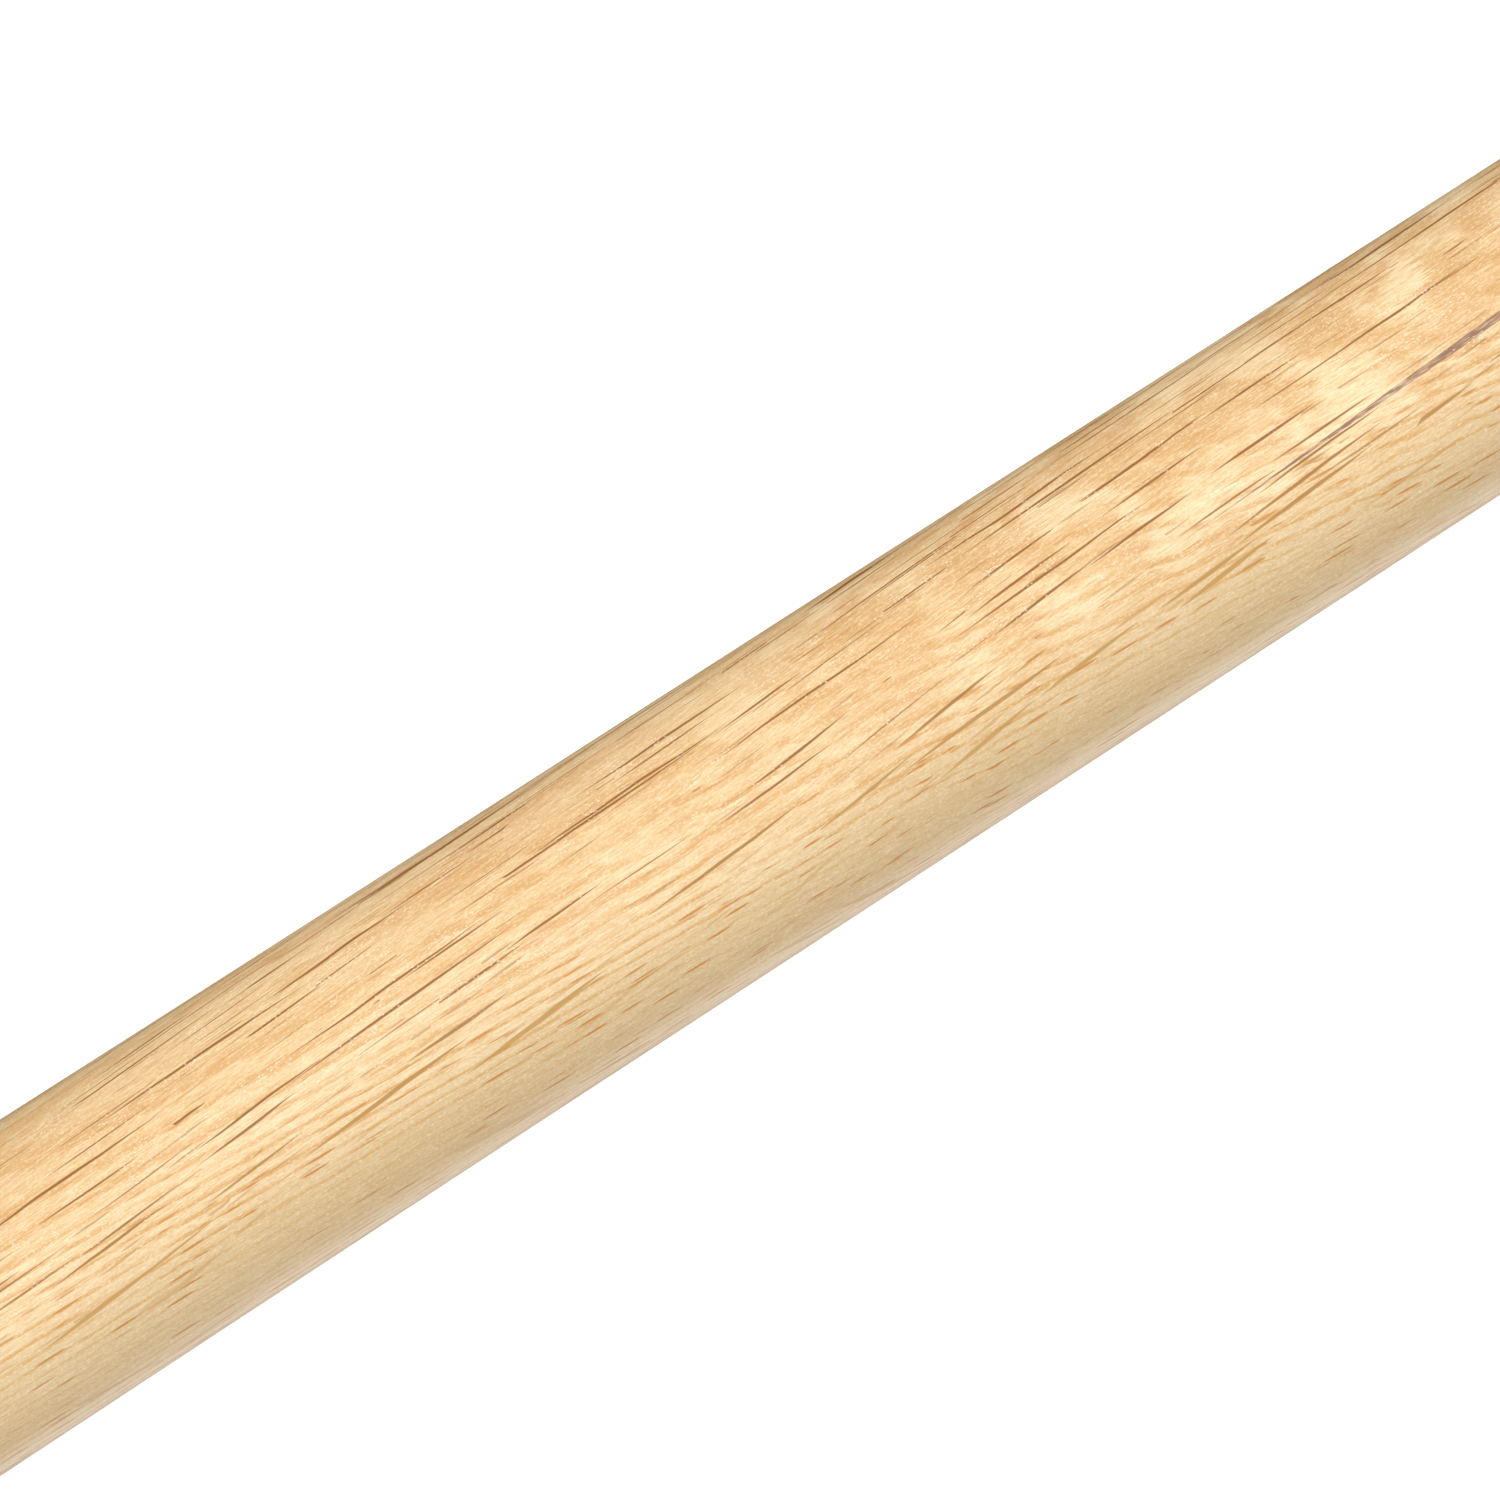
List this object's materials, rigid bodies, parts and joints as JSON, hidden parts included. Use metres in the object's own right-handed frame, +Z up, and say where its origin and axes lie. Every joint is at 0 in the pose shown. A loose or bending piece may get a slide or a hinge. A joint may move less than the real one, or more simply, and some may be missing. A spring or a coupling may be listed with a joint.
{
  "type": "baseball bat",
  "caption": "Full-size wooden baseball bat in clear-lacquered white oak, with a flared knob, a slim round handle, a long taper and a cupped barrel end.",
  "frame": {"origin": "centre of the knob's flat end face, on the bat's axis", "axes": "+X along the bat's axis from the knob to the barrel end, +Z up with the bat lying on its side, +Y to the left of the bat as seen from the knob; the glue planes are parallel to XZ"},
  "size_m": [0.8382, 0.0636, 0.0634],
  "materials": {
    "core_oak": "satin",
    "outer_oak": "satin"
  },
  "bodies": {
    "root": {"core_board": "core_oak", "barrel_side_left": "outer_oak", "barrel_side_right": "outer_oak", "knob_side_left": "outer_oak", "knob_side_right": "outer_oak"}
  },
  "joints": []
}
